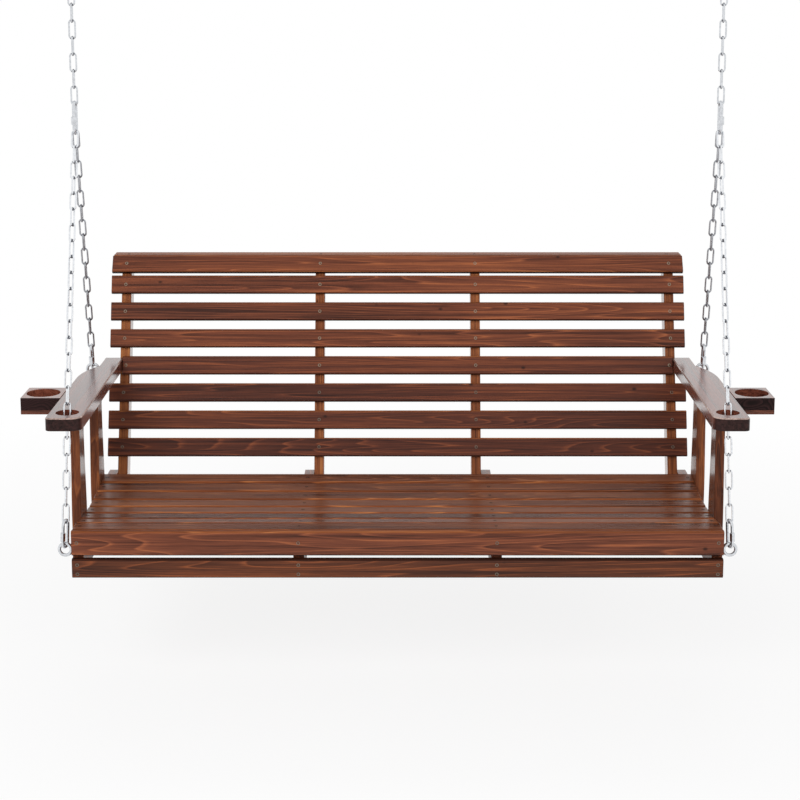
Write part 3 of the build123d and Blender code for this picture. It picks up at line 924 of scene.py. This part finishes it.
work = bmesh.new()
for slat in nodes_named("back_slat"):
    screw_row(work, slat, FRONT, back_posts, rim_slot=DULL_AND_SHADE_SLOT if slat in PAINTED_SHADE_SCREWS else RIM_SLOT)
for board, heights in FRONT_SCREW_HEIGHTS:
    for height in heights:
        screw_row(work, board, FRONT, supports, (0, 0, height), DULL_AND_SHADE_SLOT)
front_metals = (screw_brass, screw_dark_and_recess_shade, screw_dull_and_shaded)
steel_piece("front_screws", work, front_metals, "back_cap", stands_for_node=False)

work = bmesh.new()
for slat in nodes_named("seat_slat"):
    screw_row(work, slat, UP, supports)
screw_row(work, "back_cap", UP, back_posts, (0, -CAP_SCREW_FORWARD, 0))
for place in ("front", "rear"):
    for hand, outward in SIDES:
        post = f"arm_post_{place}_{hand}"
        spot, normal = face_of(post, outward)
        for height in POST_SCREW_HEIGHTS:
            spot.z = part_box(post)[0].z + height
            screw(work, spot, normal, POST_SCREW_RADIUS)
steel_piece("seat_screws", work, (screw_dark_and_recess_shade, screw_dark_and_recess_shade), "back_cap", stands_for_node=False)


# Floor and surroundings: white to the camera and to reflections, with the bench's shadow on the floor

WHITE = (1, 1, 1, 1)
FLOOR_BELOW = 0.31
FLOOR_HALF = 14.0
FLOOR_COLOUR = (0.9, 0.9, 0.9, 1)
FLOOR_ROUGHNESS = 0.9
FADE_RADIUS = 2.6
FADE_STEPS = [(0.3, grey(0.8)), (1.0, grey(1.0))]
AMBIENT = 0.42
bench_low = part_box("front_board_lower")[0].z


def white_share(tree, camera_share=1.0):
    """The share of plain white that a ray meets; camera rays may meet less than all of it."""
    ray = add(tree, "LightPath").outputs
    share = math_node(tree, "MULTIPLY", ray["Is Camera Ray"], camera_share)
    share = math_node(tree, "MAXIMUM", share, ray["Is Glossy Ray"])
    return math_node(tree, "MAXIMUM", share, ray["Is Transmission Ray"])


def floor_paint():
    """Pale paint that shows the shadow near the bench and turns to plain white further out."""
    material, tree, shader = new_material("floor_paint")
    shader.inputs["Base Color"].default_value = FLOOR_COLOUR
    shader.inputs["Roughness"].default_value = FLOOR_ROUGHNESS
    glow = add(tree, "Emission", Color=WHITE)
    from_middle = add(tree, "VectorMath", operation="LENGTH")
    link(tree, add(tree, "TexCoord").outputs["Object"], from_middle.inputs[0])
    distance = math_node(tree, "DIVIDE", from_middle.outputs["Value"], FADE_RADIUS)
    blend = add(tree, "MixShader")
    link(tree, white_share(tree, ramp(tree, distance, FADE_STEPS)), blend.inputs[0])
    link(tree, shader.outputs[0], blend.inputs[1])
    link(tree, glow.outputs[0], blend.inputs[2])
    link(tree, blend.outputs[0], tree.nodes["Material Output"].inputs["Surface"])
    return material


floor_mesh = bpy.data.meshes.new("floor")
corners = [(x * FLOOR_HALF, y * FLOOR_HALF, 0) for x, y in ((-1, -1), (1, -1), (1, 1), (-1, 1))]
floor_mesh.from_pydata(corners, [], [(0, 1, 2, 3)])
floor_mesh.materials.append(floor_paint())
floor = bpy.data.objects.new("floor", floor_mesh)
floor.location.z = bench_low - FLOOR_BELOW
scene.collection.objects.link(floor)

world = bpy.data.worlds.new("studio")
scene.world = world
world.use_nodes = True
sky = world.node_tree
studio = sky.nodes["Background"]
studio.inputs["Color"].default_value = WHITE
strength = math_node(sky, "MULTIPLY_ADD", white_share(sky), 1 - AMBIENT, AMBIENT)
link(sky, strength, studio.inputs["Strength"])


# Lamps

BENCH_MIDDLE_ABOVE = 0.3
bench_middle = Vector((0, 0, bench_low + BENCH_MIDDLE_ABOVE))


def soft_light(name, place, size, power):
    """A large area lamp that looks at the middle of the bench."""
    lamp = bpy.data.lights.new(name, "AREA")
    lamp.shape = "RECTANGLE"
    lamp.size, lamp.size_y = size
    lamp.energy = power
    item = bpy.data.objects.new(name, lamp)
    item.location = place
    item.rotation_mode = "QUATERNION"
    item.rotation_quaternion = (bench_middle - Vector(place)).to_track_quat("-Z", "Y")
    item.visible_glossy = False
    scene.collection.objects.link(item)


soft_light("key", place=(-1.9, -3.6, 1.3), size=(2.2, 2.2), power=120)
soft_light("fill", place=(2.6, -3.4, 0.6), size=(2.5, 2.5), power=60)
soft_light("back", place=(0.0, 3.0, 1.6), size=(3.0, 1.6), power=40)


# Camera: in front of the bench, a little above it and tilted down

CAMERA_AHEAD = 3.836
CAMERA_ABOVE = 1.391

# Degrees by which the camera is raised from looking straight down
CAMERA_RAISED = 80.0

camera = bpy.data.cameras.new("camera")
camera.lens = 78.5
camera.sensor_width = 36.0
camera.shift_x = 0.003
camera.shift_y = -0.159
eye = bpy.data.objects.new("camera", camera)
eye.location = (0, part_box("front_board_lower")[0].y - CAMERA_AHEAD, bench_low + CAMERA_ABOVE)
eye.rotation_euler = (math.radians(CAMERA_RAISED), 0, 0)
scene.collection.objects.link(eye)
scene.camera = eye
scene.view_settings.view_transform = "Standard"
